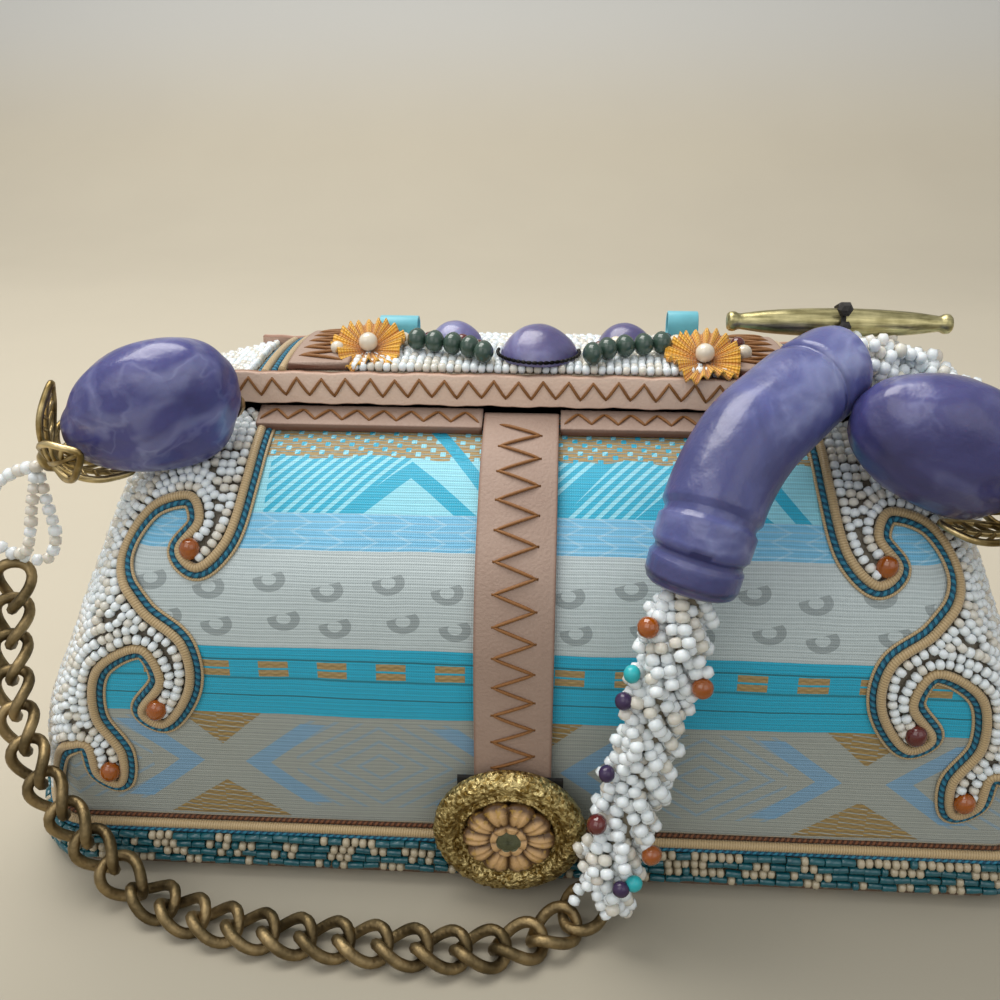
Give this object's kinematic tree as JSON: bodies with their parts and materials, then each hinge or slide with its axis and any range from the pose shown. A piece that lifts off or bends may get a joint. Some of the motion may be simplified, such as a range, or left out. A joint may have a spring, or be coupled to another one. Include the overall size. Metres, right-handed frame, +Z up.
{
  "type": "embellished clutch bag",
  "caption": "Dome-shaped cloth clutch with beaded ends and scrolls, a jewelled leather-edged lid, a strap with a round button, and a handle of resin nuggets, chain and a beaded rope.",
  "frame": {"origin": "middle of the underside of the base board, on the floor", "axes": "+X to the right of the front, along the bag; -Y out of the front, where the strap and button are; +Z up"},
  "size_m": [0.2819, 0.1443, 0.1325],
  "materials": {
    "covered_board": "brown leather over board",
    "brocade": "woven striped brocade, soft sheen",
    "lid_cloth": "cream cloth over board",
    "white_beads": "opaque pearl white seed beads",
    "band_beads": "opaque teal and cream seed beads",
    "gold_cord": "twisted gold cord",
    "tan_leather": "smooth, with dark edges",
    "brown_leather": "smooth",
    "black_cloth": "matte",
    "gold_metal": "antique gold",
    "button_gold": "gold glitter",
    "rosette": "carved look with worn gilding",
    "purple_resin": "marbled with white, polished",
    "chain_brass": "matte antique brass",
    "olive_brass": "worn, brushed",
    "black_cord": "matte",
    "petal_ribbon": "pleated ribbon, soft sheen",
    "aqua_ribbon": "satin",
    "green_stone": "polished"
  },
  "bodies": {
    "root": {"base_board": "covered_board", "cloth_body": "brocade", "lid_shell": "lid_cloth", "beaded_band": "band_beads", "foot_cord": "gold_cord", "scroll_cord_front_left": "gold_cord", "scroll_cord_front_right": "gold_cord", "scroll_cord_back_left": "gold_cord", "scroll_cord_back_right": "gold_cord", "lid_cord_left": "gold_cord", "lid_cord_right": "gold_cord", "beading_front_left": "white_beads", "beading_front_right": "white_beads", "beading_back_left": "white_beads", "beading_back_right": "white_beads", "lid_beading_middle": "white_beads", "lid_beading_left": "white_beads", "lid_beading_right": "white_beads", "bead_loops_left": "white_beads", "bead_loops_right": "white_beads", "bead_rope": "white_beads", "rim_strip_front_left": "tan_leather", "rim_strip_front_right": "tan_leather", "rim_strip_back": "tan_leather", "front_strap": "tan_leather", "lid_strip_front": "tan_leather", "lid_strip_back": "tan_leather", "lid_band_left": "tan_leather", "lid_band_right": "tan_leather", "end_strip_left": "brown_leather", "end_strip_right": "brown_leather", "strap_backing": "black_cloth", "button_back": "button_gold", "button_rosette": "rosette", "cabochon_front": "purple_resin", "cabochon_left": "purple_resin", "cabochon_right": "purple_resin", "nugget_left": "purple_resin", "nugget_right": "purple_resin", "tube_bead": "purple_resin", "nugget_cap_left": "gold_metal", "nugget_cap_right": "gold_metal", "leaf_cap_left": "gold_metal", "leaf_cap_right": "gold_metal", "chain_left": "chain_brass", "chain_right": "chain_brass", "spindle_bar": "olive_brass", "bar_tie": "black_cord", "flower_left": "petal_ribbon", "flower_right": "petal_ribbon", "ribbon_left": "aqua_ribbon", "ribbon_right": "aqua_ribbon", "green_beads_left": "green_stone", "green_beads_right": "green_stone"}
  },
  "joints": []
}
